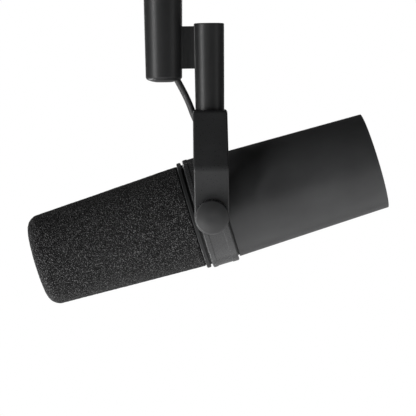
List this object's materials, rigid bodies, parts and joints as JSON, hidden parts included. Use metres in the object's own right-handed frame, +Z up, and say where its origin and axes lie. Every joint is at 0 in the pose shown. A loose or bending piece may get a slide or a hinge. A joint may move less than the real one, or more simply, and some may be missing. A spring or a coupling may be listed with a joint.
{
  "type": "broadcast microphone",
  "caption": "End-address studio microphone: tapered head with full foam windscreen, tilting in a strap yoke under a cast stem with a cable connector barrel.",
  "frame": {"origin": "centre of the mouth of the stand's thread, in the top of the stem", "axes": "+Z up out of the thread's mouth, the head's nose towards -X, the tilt axis along Y"},
  "size_m": [0.1931, 0.0964, 0.1662],
  "materials": {
    "casting_enamel": "satin grey-black enamel on a casting",
    "yoke_enamel": "satin grey-black enamel on steel strap",
    "band_enamel": "satin grey-black enamel",
    "base_enamel": "matt black enamel on a ring",
    "shell_enamel": "fine-grained grey-black enamel",
    "plate_enamel": "matt grey-black enamel",
    "knob_plastic": "satin moulded black plastic",
    "brass": "machined brass",
    "black_moulding": "moulded black plastic",
    "plated_pins": "gold-plated contacts",
    "black_steel": "blackened steel",
    "zinc_steel": "zinc-plated steel",
    "nylon": "black nylon",
    "rubber": "black rubber",
    "cable_jacket": "black cable jacket",
    "plain_aluminium": "plain aluminium",
    "mesh_steel": "blackened woven wire",
    "foam": "open-cell foam, dark grey",
    "film": "thin polyester film",
    "copper": "enamelled copper wire",
    "magnet_alloy": "sintered magnet",
    "board_laminate": "green laminate",
    "core_steel": "laminated core steel",
    "capacitor_case": "moulded film capacitor",
    "slider_plastic": "light grey moulded plastic"
  },
  "bodies": {
    "mount": {"mount_casting": "casting_enamel", "thread_insert": "brass", "connector_insert": "black_moulding", "connector_pins": "plated_pins", "connector_screw": "black_steel", "barrel_grommet": "rubber", "lead_cable": "cable_jacket", "yoke_bracket": "yoke_enamel", "bridge_washer": "zinc_steel", "bridge_screw": "black_steel"},
    "head": {"yoke_band": "band_enamel", "pivot_studs": "zinc_steel", "friction_washers": "nylon", "band_gasket": "rubber", "grille_base": "base_enamel", "grille_screws": "zinc_steel", "bulkhead": "plain_aluminium", "grille_cage": "black_steel", "grille_mesh": "mesh_steel", "pop_disc": "foam", "capsule_case": "black_moulding", "capsule_cap": "black_moulding", "diaphragm": "film", "voice_coil": "copper", "magnet_cup": "zinc_steel", "magnet": "magnet_alloy", "pole_piece": "zinc_steel", "capsule_tube": "plain_aluminium", "shock_rings": "rubber", "hum_coil_bobbin": "black_moulding", "hum_coil": "copper", "capsule_wires": "cable_jacket", "rear_housing": "shell_enamel", "housing_gasket": "rubber", "lead_grommet": "rubber", "tie_rods": "zinc_steel", "chassis_tray": "plain_aluminium", "board_standoffs": "brass", "circuit_board": "board_laminate", "board_screws": "zinc_steel", "transformer_core": "core_steel", "transformer_winding": "copper", "filter_choke": "core_steel", "filter_capacitors": "capacitor_case", "low_cut_switch": "black_moulding", "presence_switch": "black_moulding", "back_plate": "plate_enamel", "back_plate_screws": "black_steel"},
    "windscreen": {"foam_windscreen": "foam"},
    "low_cut_actuator": {"low_cut_slider": "slider_plastic"},
    "presence_actuator": {"presence_slider": "slider_plastic"},
    "near_screw_on": {"near_thrust_washer": "black_steel"},
    "near_knob": {"near_lock_knob": "knob_plastic", "near_knob_bush": "brass"},
    "far_screw_on": {"far_thrust_washer": "black_steel"},
    "far_knob": {"far_lock_knob": "knob_plastic", "far_knob_bush": "brass"}
  },
  "joints": [
    {"name": "mic_tilt", "type": "hinge", "parent": "mount", "child": "head", "pos_m": [0, 0, -0.0998], "axis": [0, 1, 0], "range_deg": [-28.8, 56.2], "deforming": ["lead_cable"]},
    {"name": "windscreen_pull", "type": "slide", "parent": "head", "child": "windscreen", "axis": [-0.9603, 0, -0.279], "range_m": [0, 0.1]},
    {"name": "low_cut_slide", "type": "slide", "parent": "head", "child": "low_cut_actuator", "axis": [-0.279, 0, 0.9603], "range_m": [0, 0.003]},
    {"name": "presence_slide", "type": "slide", "parent": "head", "child": "presence_actuator", "axis": [-0.279, 0, 0.9603], "range_m": [0, 0.003]},
    {"name": "near_knob_travel", "type": "slide", "parent": "head", "child": "near_screw_on", "axis": [0, -1, 0], "range_m": [0, 0.001]},
    {"name": "near_knob_turn", "type": "hinge", "parent": "near_screw_on", "child": "near_knob", "pos_m": [0, 0, -0.0998], "axis": [0, -1, 0], "range_deg": [0, 360]},
    {"name": "far_knob_travel", "type": "slide", "parent": "head", "child": "far_screw_on", "axis": [0, 1, 0], "range_m": [0, 0.001]},
    {"name": "far_knob_turn", "type": "hinge", "parent": "far_screw_on", "child": "far_knob", "pos_m": [0, 0, -0.0998], "axis": [0, 1, 0], "range_deg": [0, 360]}
  ],
  "couplings": [
    {"joint": "near_knob_travel", "follows": "near_knob_turn", "m_per_rad": 0.00015915},
    {"joint": "far_knob_travel", "follows": "far_knob_turn", "m_per_rad": 0.00015915}
  ]
}
